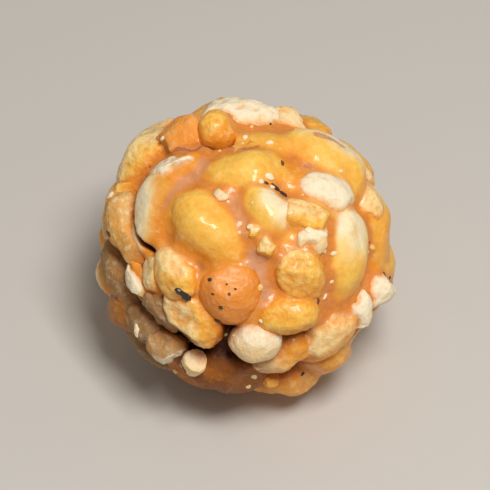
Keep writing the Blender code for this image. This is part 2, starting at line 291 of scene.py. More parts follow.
poses = {  # roll about the length in degrees, and how deep the middle lies against length and width
    "whole": (0, 0.0, 0.50),
    "half": (0, 0.0, 0.50),
    "open": (180, 0.0, 0.10),
    "edge": (80, 0.0, 0.50),
    "end": (0, 0.5, 0.0),
    "chunk": (0, 0.0, 0.42),
}


class Seat:
    def __init__(self, name, out, along, length, width, form, lift, dip=0.0):
        self.name, self.out, self.along, self.dip = name, out, along, dip
        self.length, self.width, self.form, self.lift = length, width, form, lift
        self.finish, self.tone, self.paleWay, self.chips = "coated", 0.5, Vector(), []

    def reach(self):
        if self.form == "end":
            return self.width / 2
        if self.form == "edge":
            return (self.length + self.width / 2) / 4
        return (self.length + self.width) / 4

    def matrix(self):  # from the kernel as modelled, along X and out along Z, to its place
        roll, ofLength, ofWidth = poses[self.form]
        side = self.out.cross(self.along)
        along = self.along * math.cos(self.dip) + self.out * math.sin(self.dip)
        turned = Matrix((along, side, along.cross(side))).transposed().to_4x4()
        if self.form == "end":
            turned = turned @ Matrix.Rotation(math.radians(-90), 4, "Y")
        height = ball["radius"] + self.lift - ofLength * self.length - ofWidth * self.width
        if self.length < ball["smallPiece"]:
            height = min(height, ball["coreRadius"] + ball["bitStand"] * self.width)
        place = Matrix.Translation(ball["centre"] + self.out * height)
        return place @ turned @ Matrix.Rotation(math.radians(roll), 4, "X")


def tangent(out, way):
    return (way - out * way.dot(out)).normalized()


def seenWay(right, up):  # the way out of the ball at a place on the side best seen
    flat = Vector((right, up)) * mm
    flat *= min(1.0, 0.985 * ball["seenRadius"] / max(flat.length, mm))
    depth = math.sqrt(ball["seenRadius"] ** 2 - flat.length_squared)
    return (across * flat.x + upward * flat.y + toEye * depth).normalized()


def shownSeat(piece):
    out = seenWay(piece.across, piece.up)
    turn = math.radians(piece.turn)
    along = tangent(out, across * math.cos(turn) + upward * math.sin(turn))
    length, width, lift, dip = piece.length * mm, piece.width * mm, piece.lift * mm, math.radians(piece.dip)
    seat = Seat(piece.name, out, along, length, width, piece.form, lift, dip)
    seat.finish, seat.tone = piece.finish, piece.tone
    return seat


def randomWay(draw):
    height = draw.uniform(-1, 1)
    around = draw.uniform(0, 2 * math.pi)
    ring = math.sqrt(1 - height * height)
    return Vector((ring * math.cos(around), ring * math.sin(around), height))


def clearance(out, reach, seats):
    if out.dot(toEye) > ball["shownLimit"]:
        return -ball["radius"]
    foot = out * ball["radius"]
    return min((foot - seat.out * ball["radius"]).length - seat.reach() - reach for seat in seats)


def clearTurn(draw, out, length, seats):
    start = draw.uniform(0, math.pi)
    side = tangent(out, out.orthogonal())
    other = out.cross(side)
    foot = out * ball["radius"]
    best, bestRoom = side, -1.0
    for step in range(8):
        angle = start + step * math.pi / 8
        way = side * math.cos(angle) + other * math.sin(angle)
        room = min(
            (foot + way * end * length / 2 - seat.out * ball["radius"]).length
            for seat in seats
            for end in (-1, 1)
        )
        if room > bestRoom:
            best, bestRoom = way, room
    return best


def drawnPiece(draw):
    pick = draw.random()
    for form, share, least, most in drawnKernels:
        pick -= share
        if pick <= 0:
            break
    length = ball["kernelLength"] * draw.uniform(least, most)
    width = min(ball["kernelWidth"] * draw.uniform(0.90, 1.06), length * 0.82)
    return form, length, width


def drawnBit(draw):
    length = draw.uniform(*ball["bitLengths"])
    return "chunk", length, length * draw.uniform(0.65, 0.9)


def cover(seats, draw, drawn, crowding, most):
    for _ in range(most):
        form, length, width = drawn(draw)
        reach = (length + width) / 4
        ways = [randomWay(draw) for _ in range(ball["draws"])]
        out = max(ways, key=lambda way: clearance(way, reach, seats))
        if clearance(out, reach, seats) < -crowding:
            continue
        along = clearTurn(draw, out, length, seats)
        lift, dip = draw.uniform(-0.5 * mm, 0.5 * mm), draw.uniform(-ball["dipSpread"], ball["dipSpread"])
        seats.append(Seat(f"drawn{len(seats)}", out, along, length, width, form, lift, dip))


def drawnFinish(draw, small):
    if small:
        return "bare" if draw.random() < 0.5 else "glazed"
    pick = draw.random()
    for finish, share in drawnFinishes:
        pick -= share
        if pick <= 0:
            return finish
    return "coated"


def allSeats():
    draw = random.Random(ball["seed"])
    seats = [shownSeat(piece) for piece in shownPieces]
    cover(seats, draw, drawnPiece, ball["kernelCrowding"], ball["mostKernels"])
    cover(seats, draw, drawnBit, ball["bitCrowding"], ball["mostBits"])
    look = random.Random(ball["seed"] + 5)
    for seat in seats[len(shownPieces):]:
        seat.finish = drawnFinish(look, seat.length < ball["smallPiece"])
        seat.tone = look.uniform(0.25, 0.95)
        seat.paleWay = (seat.out + randomWay(look)).normalized() if look.random() < 0.35 else Vector()
        if seat.name in drawnLooks:
            seat.finish, seat.tone, seat.paleWay = *drawnLooks[seat.name], Vector()
    for seat in seats[:len(shownPieces)]:
        right, up, near = paleSides.get(seat.name, (0, 0, 0))
        seat.paleWay = (across * right + upward * up + toEye * near).normalized()
    for seat in seats:
        depth = finishTraits[seat.finish].chip * min(1.5, craggy.get(seat.name, 1.0))
        seat.chips = [drawnChip(look, depth) for _ in range(3)]
    return seats


def drawnChip(draw, depth):  # a flat broken face: the way that it looks, as long as it stands from the middle
    way = Vector((draw.uniform(-0.9, 0.9), draw.uniform(-1, 1), draw.uniform(0, 1))).normalized()
    return way * (1 - depth * draw.uniform(0.3, 1.0))


# one kernel shape, set at every seat by Geometry Nodes
kernelLook = {
    "segments": 52,
    "rings": 38,
    "taper": 0.14,
    "fullness": 2.3,
    "seam": 0.035,
    "seamSpread": 0.10,
    "nub": 0.05,
    "dish": 0.10,
    "ridge": 0.05,
    "bend": 0.42 * mm,
    "bendSpan": 4.5 * mm,
    "facets": 0.36 * mm,
    "facetSpan": 3.4 * mm,
    "veins": 0.16 * mm,
    "crags": 0.30 * mm,
    "cragSpan": 1.9 * mm,
    "grit": 0.11 * mm,
    "gritSpan": 0.9 * mm,
    "veinStretch": (0.9, 3.6, 3.6),
    "breakEdge": 0.05,
    "thinWidth": 3.4 * mm,
}
Traits = namedtuple("Traits", "pale skin rough chip stand")  # chip: how deep; stand: how far out of the glaze
finishTraits = {
    "coated": Traits(0.0, 0.0, 0.6, 0.10, 0.0),
    "glazed": Traits(0.0, 0.0, 0.9, 0.20, 0.40 * mm),
    "bare": Traits(0.35, 0.0, 1.1, 0.22, 0.60 * mm),
    "roasted": Traits(0.1, 0.0, 1.9, 0.28, 0.75 * mm),
    "skin": Traits(0.0, 1.0, 0.4, 0.06, 0.40 * mm),
}
craggy = {  # times rougher than its finish
    "topRim": 2.4,
    "topRimRight": 2.0,
    "palePatch": 1.4,
    "leftYellow": 0.6,
    "chipHigh": 0.7,
    "chipMiddle": 0.5,
    "chipLow": 0.5,
    "skinTop": 2.0,
    "paleHalf": 0.3,
    "paleRound": 0.3,
    "rightShoulder": 0.5,
    "lowLeft": 1.4,
    "leftDim": 1.4,
    "farLeft": 1.2,
    "leftPatch": 1.4,
}
drawnLooks = {  # drawn pieces that show at the rim: finish and tone, where a tone below 0 is painted shade
    "drawn51": ("roasted", -0.30),
    "drawn81": ("roasted", -0.25),
    "drawn82": ("glazed", -0.20),
    "drawn64": ("glazed", -0.20),
    "drawn68": ("glazed", 0.5),
}
paleSides = {  # the way that a kernel's pale side faces: across, up, to the eye; partly the nut's own pale face, partly painted highlight where it faces the light
    "topRim": (0.0, 1.0, 0.1),
    "palePatch": (0.2, 0.7, 0.7),
    "paleHalf": (0.0, 0.85, 0.5),
    "paleRound": (0.2, 0.8, 0.55),
    "crumb": (-0.1, 0.9, 0.3),
    "paleRight": (0.7, 0.1, 0.7),
    "paleRightLow": (0.0, 0.3, 0.9),
    "wedge": (-0.2, 0.7, 0.5),
    "leftTall": (-0.9, 0.15, 0.25),
    "upperLeft": (-0.8, 0.6, 0.02),
    "leftSmall": (-0.7, 0.5, 0.4),
    "leftThin": (-0.8, 0.2, 0.5),
    "lowLeftRim": (0.1, -0.95, 0.2),
    "chipMiddle": (0.0, 0.5, 0.85),
    "chipLow": (0.0, 0.5, 0.85),
    "rightTall": (0.35, 0.7, 0.6),
    "middle": (0.7, 0.4, 0.55),
    "roundRight": (-0.3, 0.9, 0.3),
    "upperRight": (0.5, 0.8, -0.2),
    "rightShoulder": (0.3, 0.5, 0.8),
    "lowRight": (0.2, 0.1, 0.95),
    "leftPatch": (-0.9, -0.4, 0.2),
    "lowEdge": (-0.7, -0.6, 0.3),
    "leftYellow": (-0.5, 0.7, 0.5),
}


chipMarks = ("chipA", "chipB", "chipC")


def kernelMesh(name, half):  # unit half-length along X, unit half-width, outside up +Z
    look = kernelLook
    shape = bmesh.new()
    bmesh.ops.create_uvsphere(shape, u_segments=look["segments"], v_segments=look["rings"], radius=1)
    for vert in shape.verts:
        share = max(-1.0, min(1.0, vert.co.z))
        ring = Vector((vert.co.x, vert.co.y))
        if ring.length > 1e-6:
            ring = ring.normalized()
        full = (1 - abs(share) ** look["fullness"]) ** 0.5 if abs(share) < 1 else 0.0
        wide = full * (1 + look["taper"] * share)
        seam = math.exp(-((ring.y / look["seamSpread"]) ** 2)) * look["seam"]
        nub = look["nub"] * max(0.0, (-share - 0.80) / 0.20) ** 2
        side, rise = ring.x * wide, ring.y * wide
        if half and ring.y < 0:  # the cut face: a shallow dish with a low ridge down its middle
            middle = 1 - ring.x * ring.x
            rise = wide * middle * (look["dish"] - look["ridge"] * math.exp(-((ring.x / 0.16) ** 2)))
        elif not half:
            side *= 1 - seam
            rise *= 1 - seam
        vert.co = (share - nub, side, rise)
    shape.normal_update()
    bmesh.ops.recalc_face_normals(shape, faces=shape.faces[:])
    mesh = meshOf(name, shape)
    local = mesh.attributes.new("local", "FLOAT_VECTOR", "POINT")
    local.data.foreach_set("vector", [value for vert in mesh.vertices for value in vert.co])
    return mesh


def pointMesh(name, places):
    mesh = bpy.data.meshes.new(name)
    mesh.from_pydata(places, [], [])
    return mesh


def markPoints(mesh, **marks):  # each mark is a list of numbers, vectors or turns, one for each point
    for name, values in marks.items():
        width = 1 if isinstance(values[0], (int, float)) else len(values[0])
        flat = values if width == 1 else [part for value in values for part in value]
        layer = mesh.attributes.new(name, {1: "FLOAT", 3: "FLOAT_VECTOR", 4: "QUATERNION"}[width], "POINT")
        layer.data.foreach_set("vector" if width == 3 else "value", flat)


def chunkCuts(seats):  # the two planes that end each broken piece, in its own units
    draw = random.Random(ball["seed"] + 1)
    cuts = []
    for seat in seats:
        pair = [(9.0, 0.0, 0.0), (9.0, 0.0, 0.0)]
        if seat.form == "chunk":
            slim = seat.width / seat.length
            for end in (0, 1):
                side, up = draw.uniform(-0.5, 0.5), draw.uniform(0.1, 0.6)
                reach = 2 * draw.uniform(0.26, 0.4) * math.sqrt(1 + side * side + up * up)
                pair[end] = (reach, side * slim, up * slim)
        cuts.append(pair)
    return cuts


def seatObject(name, seats, cuts):  # one point for each seat, with what the tree needs to know
    matrices = [seat.matrix() for seat in seats]
    mesh = pointMesh(name, [matrix.translation for matrix in matrices])
    traits = [finishTraits[seat.finish] for seat in seats]
    markPoints(
        mesh,
        turn=[matrix.to_quaternion() for matrix in matrices],
        size=[(seat.length / 2, seat.width / 2, seat.width / 2) for seat in seats],
        cutHigh=[cut[0] for cut in cuts],
        cutLow=[cut[1] for cut in cuts],
        half=[float(seat.form in ("half", "open", "edge")) for seat in seats],
        own=[round(seat.length * seat.width / mm / mm * 7.3, 3) for seat in seats],
        tone=[seat.tone for seat in seats],
        paleWay=[seat.paleWay for seat in seats],
        rough=[trait.rough * craggy.get(seat.name, 1.0) for trait, seat in zip(traits, seats)],
        **{mark: [getattr(trait, mark) for trait in traits] for mark in ("pale", "skin", "stand")},
        **{mark: [seat.chips[index] for seat in seats] for index, mark in enumerate(chipMarks)},
    )
    return addObject(name, mesh)


def kernelTree():
    tree, given = newTree("setKernels", {
        "Whole": "Object", "Half": "Object", "Bend": "Float", "Facets": "Float", "Veins": "Float",
        "Crags": "Float", "Grit": "Float", "Sink": "Float", "Material": "Material",
    })
    marks = ("half", "own", "rough", "stand", "pale")
    half, own, rough, stand, paleness = (readMark(tree, name) for name in marks)
    vectors = ("size", "local", "paleWay", "cutHigh", "cutLow")
    size, local, paleWay, cutHigh, cutLow = (readMark(tree, name, "FLOAT_VECTOR") for name in vectors)
    turn = readMark(tree, "turn", "QUATERNION")
    joint = tree.nodes.new("GeometryNodeJoinGeometry")
    for source, chosen in (("Whole", 1.0 - half), ("Half", half)):
        shape = geometryOf(given.of(source))
        plug(joint.inputs[0], laidOn(given, shape, turn, size, chosen))
    kernels = node(tree, "GeometryNodeRealizeInstances", None, Wire(joint.outputs[0]))

    x, y, z = parts(local)  # broken ends and faces are cut flat
    reach, side, up = parts(cutHigh)
    short = x.least(reach - y * side - z * up)
    reach, side, up = parts(cutLow)
    short = short.most(y * side + z * up - reach)
    shaped = node(tree, "ShaderNodeCombineXYZ", None, short, y, z)
    for name in chipMarks:
        mark = readMark(tree, name, "FLOAT_VECTOR")
        reach, way = vectorMaths("LENGTH", mark), vectorMaths("NORMALIZE", mark)
        over = (vectorMaths("DOT_PRODUCT", shaped, way) - reach).most(0.0)
        shaped = vectorMaths("SUBTRACT", shaped, scaled(way, over))
    back = vectorMaths("SUBTRACT", shaped, local)
    kernels = store(kernels, "broken", ease(vectorMaths("LENGTH", back), 0.0, kernelLook["breakEdge"]))
    back = vectorMaths("MULTIPLY", back, size)
    kernels = moved(kernels, node(tree, "FunctionNodeRotateVector", None, back, turn))

    place = node(tree, "GeometryNodeInputPosition")  # then the relief, along the surface's own direction
    normal = node(tree, "GeometryNodeInputNormal")
    thick = (parts(size)[1] / kernelLook["thinWidth"]).least(1.0)
    harsh = (readMark(tree, "broken") + rough) * thick
    crags = noiseAt(place, kernelLook["cragSpan"], own, 2.0)
    # pale side: partly the nut's own pale face, partly painted highlight
    facing = vectorMaths("DOT_PRODUCT", normal, paleWay)
    kernels = store(kernels, "pale", ease(facing + crags * 0.3 + paleness, 0.40, 0.85))
    kernels = store(kernels, "worn", crags)
    veined = vectorMaths("MULTIPLY", local, kernelLook["veinStretch"])
    settings = {"voronoi_dimensions": "4D"}
    cells = node(tree, "ShaderNodeTexVoronoi", settings, place, W=own, Scale=1 / kernelLook["facetSpan"])
    relief = noiseAt(place, kernelLook["bendSpan"], own) * given.of("Bend")
    relief = relief + (cells - 0.5) * thick * given.of("Facets")
    relief = relief + noiseAt(veined, 1.0, own) * rough.most(1.0) * given.of("Veins")
    relief = relief + crags * harsh * given.of("Crags")
    relief = relief + noiseAt(place, kernelLook["gritSpan"], own, 2.0) * harsh * given.of("Grit")
    relief = relief - stand * given.of("Sink")
    kernels = raised(moved(kernels, scaled(normal, relief)), place)
    # depth below the ball's surface, which the paint turns into painted shade
    kernels = store(kernels, "hollow", hollowness(place))
    kernels = store(kernels, "rich", richness(place))
    # how far the surface faces up and out, which the paint makes lighter on top and deeper on the sides as
    # painted light and shade
    crown = vectorMaths("DOT_PRODUCT", normal, vectorMaths("NORMALIZE", fromMiddle(place)))
    kernels = store(kernels, "rise", parts(normal)[2] * 0.45 + crown * 0.55)
    return finishTree(kernels, given)


def fromMiddle(place):
    return vectorMaths("SUBTRACT", place, tuple(ball["centre"]))


def hollowness(place):  # how far below the ball's surface
    return ball["radius"] - vectorMaths("LENGTH", fromMiddle(place))


def outward(place, way):  # how far the place lies that way from the middle, against the ball's radius
    return vectorMaths("DOT_PRODUCT", fromMiddle(place), tuple(way / ball["radius"]))


def gappiness(place):  # 1 where the kernels lie loose, with deep gaps, which the glaze also paints with shade
    return ease(outward(place, gapWay), *glaze["gapReach"])


def setKernels(name, seats, cuts, tree, bases, sink=0.0, material=None):
    obj = seatObject(name, seats, cuts)
    sizes = {label: kernelLook[label.lower()] for label in ("Bend", "Facets", "Veins", "Crags", "Grit")}
    runTree(obj, tree, {**sizes, "Whole": bases[0], "Half": bases[1], "Sink": sink, "Material": material})
    return obj


def coreMesh():
    shape = bmesh.new()
    bmesh.ops.create_icosphere(shape, subdivisions=6, radius=ball["coreRadius"])
    for vert in shape.verts:
        out = vert.co.normalized()
        lump = ball["coreLump"] * noise.noise(vert.co / ball["coreLumpSpan"])
        under = max(0.0, 1 - math.acos(max(-1.0, min(1.0, -out.z))) / ball["footAngle"])
        bare = max(0.0, min(1.0, 0.4 - out.dot(thickWay)))
        low, high = glaze["gapReach"]
        loose = max(0.0, min(1.0, (out.dot(gapWay) - low) / (high - low)))
        swell = ball["footSwell"] * min(1.0, 2 * under)
        vert.co += out * (lump + swell - glaze["leanCore"] * bare - glaze["gapCore"] * loose)
    bmesh.ops.translate(shape, verts=shape.verts[:], vec=ball["centre"])
    return meshOf("core", shape)


# set jaggery over the kernels, filling the valleys between them
glaze = {
    "voxel": 0.33 * mm,
    "skinVoxel": 0.60 * mm,
    "unionVoxel": 0.32 * mm,
    "fill": 2.2 * mm,
    "leanFill": 0.9 * mm,
    "leanCore": 0.7 * mm,
    "gapFill": 0.3 * mm,
    "gapCore": 2.0 * mm,
    "gapReach": (0.30, 0.75),
    "coat": 0.10 * mm,
    "coatChange": 0.14 * mm,
    "coatSpan": 3.6 * mm,
    "margin": 2.4 * mm,
    "patchSpan": 14.0 * mm,
    "ripple": 0.16 * mm,
    "rippleSpan": 1.5 * mm,
    "flatFoot": 0.4 * mm,
    "softness": 5,
    "softened": ("depth", "pale", "skin", "rise"),
    "slits": [  # where no syrup ran: width, depth and the places passed, mm as seen
        (1.7, 4.0, [(-6.9, 17.0), (-5.9, 15.9), (-4.3, 15.5), (-2.8, 16.0), (-2.2, 16.9)]),
        (0.8, 3.0, [(-6.9, 19.4), (-7.0, 16.9)]),
        (1.1, 4.0, [(-16.4, 8.2), (-16.6, 4.4), (-15.3, 1.2), (-13.7, -0.6)]),
        (1.0, 3.4, [(-15.0, 10.6), (-16.2, 8.8)]),
        (1.4, 5.0, [(4.6, -12.9), (7.0, -13.5), (9.6, -12.8)]),
        (1.2, 4.0, [(-5.0, -9.2), (-4.0, -10.4), (-2.9, -11.6)]),
        (1.0, 3.4, [(-14.0, -1.8), (-14.4, -4.8)]),
        (1.6, 4.5, [(-12.0, -7.4), (-11.2, -11.5), (-9.6, -14.6)]),
        (2.2, 5.0, [(-17.8, -1.6), (-17.0, -3.8), (-15.0, -7.2)]),
        (1.6, 4.5, [(-16.9, -7.6), (-14.6, -10.2), (-13.0, -13.6)]),
        (2.2, 5.0, [(-8.0, -15.8), (-5.4, -15.6), (-2.8, -16.6)]),
        (0.8, 2.6, [(11.6, -16.0), (8.2, -14.8)]),
    ],
    "tints": [  # half-width in mm, how clouded (the pinkish clouding partly a painted sheen; above 1: burned streaks and painted crease shade; below 0: lighter) and the places passed
        (1.9, 0.7, [(-9.6, 4.6), (-11.0, 8.0), (-8.5, 10.6), (-6.6, 12.0)]),
        (2.0, 1.0, [(1.8, -1.5), (1.6, -4.5), (2.4, -7.4)]),
        (1.6, 0.5, [(-1.6, 6.6), (-0.4, 2.4)]),
        (1.2, 0.5, [(16.8, -4.0), (18.0, -1.0)]),
        (1.0, 0.9, [(-8.6, -4.4), (-7.2, -6.4), (-6.6, -8.8)]),
        (1.1, 0.6, [(4.4, 12.4), (6.2, 9.6)]),
        (2.0, -1.0, [(-1.4, 15.8), (2.6, 16.4), (5.6, 15.6)]),
        (1.4, -0.6, [(9.6, 6.4), (13.4, 4.6)]),
        (1.0, 1.6, [(9.6, 15.4), (11.3, 14.6), (12.8, 13.5)]),
        (0.8, 1.7, [(-5.6, 15.6), (-8.3, 14.6), (-10.8, 14.7)]),
        (0.8, 1.6, [(-2.6, 15.6), (0.2, 14.9), (1.8, 15.2)]),
        (0.8, 1.3, [(9.2, 12.3), (9.6, 11.9)]),
    ],
}
thickWay = (toEye * 0.55 + across * 0.55 + upward * 0.62).normalized()
gapWay = (toEye * 0.40 - across * 0.60 - upward * 0.70).normalized()


def sample(mesh, value, place, kind="FLOAT"):  # the value where the mesh comes nearest
    settings = {"data_type": kind}
    return node(place.tree, "GeometryNodeSampleNearestSurface", settings, mesh, value, Sample_Position=place)


def nearest(mesh, place, element="FACES"):
    return node(place.tree, "GeometryNodeProximity", {"target_element": element}, mesh, Sample_Position=place)


def distanceTo(mesh, place):
    return nearest(mesh, place).of("Distance")


def signedDistance(mesh, place):  # outside is positive
    near = nearest(mesh, place)
    facing = sample(mesh, node(place.tree, "GeometryNodeInputNormal"), place, "FLOAT_VECTOR")
    away = vectorMaths("SUBTRACT", place, near)
    return near.of("Distance") * vectorMaths("DOT_PRODUCT", away, facing).sign()


def boxAround(reach):
    return tuple(c - reach for c in ball["centre"]), tuple(c + reach for c in ball["centre"])


def volumeMesh(field, low, high, voxel):  # the surface where the field, in metres, is 0
    shift = 10.0
    counts = [int((top - bottom) / voxel) + 2 for bottom, top in zip(low, high)]
    volume = node(field.tree, "GeometryNodeVolumeCube", None, field / mm + shift, 0.0, low, high, *counts)
    return node(field.tree, "GeometryNodeVolumeToMesh", {"resolution_mode": "GRID"}, volume, Threshold=shift)


def richness(place):  # 1 where the syrup ran thick, 0 where the kernels stand bare
    facing = outward(place, thickWay)
    return ease(facing + noiseAt(place, glaze["patchSpan"]) * 0.25, -0.10, 0.55)


def seenLines(name, rows):  # lines on the ball's surface, each with a width and one more number
    mesh = bpy.data.meshes.new(name)
    points, edges, widths, others = [], [], [], []
    for width, other, line in rows:
        edges += [(len(points) + step, len(points) + step + 1) for step in range(len(line) - 1)]
        points += [ball["centre"] + seenWay(*spot) * ball["radius"] for spot in line]
        widths += [width] * len(line)
        others += [other] * len(line)
    mesh.from_pydata(points, edges, [])
    markPoints(mesh, lineWidth=widths, lineOther=others)
    return addObject(name, mesh)


def nearLine(lines, place):  # how far off the nearest line is, in mm, with its two numbers
    tree = place.tree
    flat = scaled(vectorMaths("NORMALIZE", fromMiddle(place)), ball["radius"])
    flat = vectorMaths("ADD", flat, tuple(ball["centre"]))
    point = node(tree, "GeometryNodeSampleNearest", {"domain": "POINT"}, lines, flat)
    settings = {"data_type": "FLOAT", "domain": "POINT"}
    width, other = (
        node(tree, "GeometryNodeSampleIndex", settings, lines, readMark(tree, name), point)
        for name in ("lineWidth", "lineOther")
    )
    return nearest(lines, flat, "EDGES").of("Distance") / mm, width, other


def slitField(slits, place):  # above 0 in a slit
    away, width, depth = nearLine(slits, place)
    hollow = hollowness(place) / mm
    uneven = noiseAt(place, 1.6 * mm, 5.0) * 0.25
    half = width * (0.6 + uneven - (hollow / depth).share() * 0.25)
    return (half - away).least(depth - hollow) * mm


def tintField(tints, place):  # above 0 where the syrup is clouded, its pinkish clouding partly a painted sheen; above 1 burned streaks and painted crease shade; below 0 where it is clear and light
    away, width, tint = nearLine(tints, place)
    ragged = away / width + noiseAt(place, 2.4 * mm, 9.0) * 0.35
    return (1.0 - ease(ragged, 0.35, 1.15)) * tint


def glazeTree():
    tree, given = newTree("pourGlaze", {
        "Forms": "Object", "Kernels": "Object", "Slits": "Object", "Tints": "Object", "Coat": "Float",
        "Coat Change": "Float", "Material": "Material",
    })
    objects = ("Forms", "Kernels", "Slits", "Tints")
    forms, kernels, slits, tints = (geometryOf(given.of(name)) for name in objects)
    place = node(tree, "GeometryNodeInputPosition")
    fill = richness(place) * (glaze["fill"] - glaze["leanFill"]) + glaze["leanFill"]
    fill = fill - gappiness(place) * glaze["gapFill"]
    box = boxAround(ball["radius"] + glaze["fill"] + glaze["margin"])
    # swollen, so valleys close, then shrunk back, all but the coat
    skin = volumeMesh(fill - signedDistance(forms, place), *box, glaze["skinVoxel"])
    low, high = boxAround(ball["radius"] + glaze["margin"])
    coat = given.of("Coat") + noiseAt(place, glaze["coatSpan"], 7.0) * given.of("Coat Change")
    body = (fill - coat + signedDistance(skin, place)) * -1.0
    body = body.least(slitField(slits, place) * -1.0).least(parts(place)[2])
    film = volumeMesh(body, (*low[:2], -2 * glaze["voxel"]), high, glaze["voxel"])
    above = parts(place)[2] > glaze["flatFoot"]
    film = node(tree, "GeometryNodeSetPosition", None, film, above, blurred(place, "FLOAT_VECTOR", 2))
    ripple = noiseAt(place, glaze["rippleSpan"], 3.0, 2.0) * above * glaze["ripple"]
    film = moved(film, scaled(node(tree, "GeometryNodeInputNormal"), ripple))
    for name, value in (
        ("depth", distanceTo(kernels, place)),
        ("hollow", hollowness(place)),
        ("gap", gappiness(place)),
        ("rich", richness(place)),
        ("tint", tintField(tints, place)),
        *((name, sample(kernels, readMark(tree, name), place)) for name in ("tone", "pale", "skin", "rise")),
        *((name, blurred(readMark(tree, name), "FLOAT", glaze["softness"])) for name in glaze["softened"]),
    ):
        film = store(film, name, value)
    return finishTree(film, given)


def pourGlaze(kernels, material):
    shape = bmesh.new()
    shape.from_mesh(kernels.data)
    shape.from_mesh(coreMesh())
    forms = addObject("glazeForms", meshOf("glazeForms", shape))
    union = forms.modifiers.new("union", "REMESH")
    union.mode = "VOXEL"
    union.voxel_size = glaze["unionVoxel"]
    settle(forms)
    film = addObject("glaze", bpy.data.meshes.new("glaze"))
    slits, tints = seenLines("slits", glaze["slits"]), seenLines("tints", glaze["tints"])
    runTree(film, glazeTree(), {
        "Forms": forms, "Kernels": kernels, "Slits": slits, "Tints": tints, "Coat": glaze["coat"],
        "Coat Change": glaze["coatChange"], "Material": material,
    })
    for helper in (forms, slits, tints):
        bpy.data.objects.remove(helper)
    return film


def wetTree():  # marks how close each kernel's surface is to the glaze around it
    tree, given = newTree("wetEdges", {"Glaze": "Object", "Material": "Material"})
    place = node(tree, "GeometryNodeInputPosition")
    wet = distanceTo(geometryOf(given.of("Glaze")), place)
    return finishTree(store(given, "wet", wet), given)


# crumbs, skin flakes and char, laid on whatever is outermost
bits = {
    "crumbCount": 110,
    "crumbSizes": (0.35 * mm, 1.10 * mm),
    "flakeCount": 18,
    "flakeSizes": (0.6 * mm, 1.5 * mm),
    "charCount": 12,
    "charSizes": (0.3 * mm, 0.8 * mm),
    "seed": 29,
    "ways": 3,
    "crags": 0.60,
    "cragSpan": 0.9,
}
shownCrumbs = [  # across, up, length, width, thickness in mm; turn in degrees; tone
    (-0.1, 16.8, 1.0, 0.8, 0.7, 80, 1.0),
    (3.6, 15.6, 1.1, 0.7, 0.5, 20, 1.0),
    (2.2, -10.5, 0.7, 0.6, 0.5, 0, 0.9),
    (11.8, -7.3, 1.1, 0.6, 0.5, 50, 1.0),
    (-19.7, 8.4, 0.7, 0.6, 0.5, 0, 1.0),
    (-17.9, 7.0, 1.4, 0.9, 0.6, 30, 0.7),
    (-19.2, 6.3, 1.0, 0.6, 0.5, 70, 0.6),
    (3.4, 10.2, 1.5, 1.0, 0.7, -20, 0.9),
    (2.2, 9.4, 1.0, 0.8, 0.6, 30, 0.8),
    (3.9, 8.9, 0.8, 0.6, 0.5, 0, 0.8),
    (10.8, -0.4, 1.5, 0.8, 0.6, -30, 0.9),
    (12.4, -0.8, 1.0, 0.7, 0.5, 20, 0.8),
    (8.6, 2.4, 1.3, 0.9, 0.6, 15, 0.9),
    (-15.2, -11.6, 2.2, 1.1, 0.8, 70, 0.9),
    (-8.8, -16.9, 1.6, 0.9, 0.7, 70, 0.9),
    (-12.6, 13.0, 1.4, 0.8, 0.6, 40, 0.7),
    (-15.4, 9.9, 1.2, 0.8, 0.6, 60, 0.8),
    (-11.6, 15.2, 0.9, 0.7, 0.5, 0, 0.7),
    (17.4, -12.2, 1.6, 0.6, 0.5, 70, 0.6),
    (0.6, 3.0, 1.0, 0.8, 0.6, 30, 0.7),
    (13.2, 10.6, 0.8, 0.5, 0.4, 10, 0.9),
]
shownChar = [
    (4.4, 9.0, 1.9, 0.8, 0.4, -25, 0.0),
    (5.7, 8.1, 1.5, 0.7, 0.4, -50, 0.0),
    (2.9, 9.3, 0.9, 0.5, 0.3, -10, 0.3),
    (-8.6, -6.2, 2.8, 1.5, 0.80, 100, 0.0),
    (-8.3, -6.9, 1.5, 1.3, 0.80, 60, 0.0),
    (-4.9, -4.4, 0.7, 0.6, 0.3, 0, 0.2),
    (-4.4, -6.2, 0.5, 0.4, 0.25, 0, 0.5),
    (-2.2, -6.2, 0.5, 0.45, 0.25, 0, 0.5),
    (-1.4, -5.6, 0.4, 0.35, 0.25, 0, 0.6),
    (-3.3, -8.0, 0.7, 0.6, 0.3, 0, 0.2),
    (-2.6, -5.0, 0.35, 0.3, 0.2, 0, 0.6),
    (-4.1, -10.6, 1.1, 0.8, 0.3, 30, 0.0),
    (19.8, -3.9, 1.0, 0.6, 0.35, 0, 0.0),
    (20.6, -4.3, 0.6, 0.5, 0.3, 0, 0.1),
    (-18.4, 1.9, 1.2, 0.8, 0.3, -20, 0.4),
    (12.6, 16.2, 0.4, 0.3, 0.2, 0, 0.6),
]


Bit = namedtuple("Bit", "place turn size tone")


def bitAt(place, out, way, size, tone):
    along = tangent(out, way)
    turn = Matrix((along, out.cross(along), out)).transposed().to_quaternion()
    return Bit(place, turn, Vector(size) / 2, tone)


def landing(way, surfaces):  # the outermost point in that way, and the surface's direction there
    start = ball["centre"] + way * ball["radius"] * 2
    hits = [hit for hit in (surface.ray_cast(start, -way) for surface in surfaces) if hit[0] is not None]
    spot, normal = min(hits, key=lambda hit: hit[3])[:2]
    return spot, (normal + way * 0.5).normalized()


def shownBits(rows, surfaces):
    made = []
    for right, up, length, width, thick, turn, tone in rows:
        spot, out = landing(seenWay(right, up), surfaces)
        way = across * math.cos(math.radians(turn)) + upward * math.sin(math.radians(turn))
        made.append(bitAt(spot, out, way, Vector((length, width, thick)) * mm, tone))
    return made


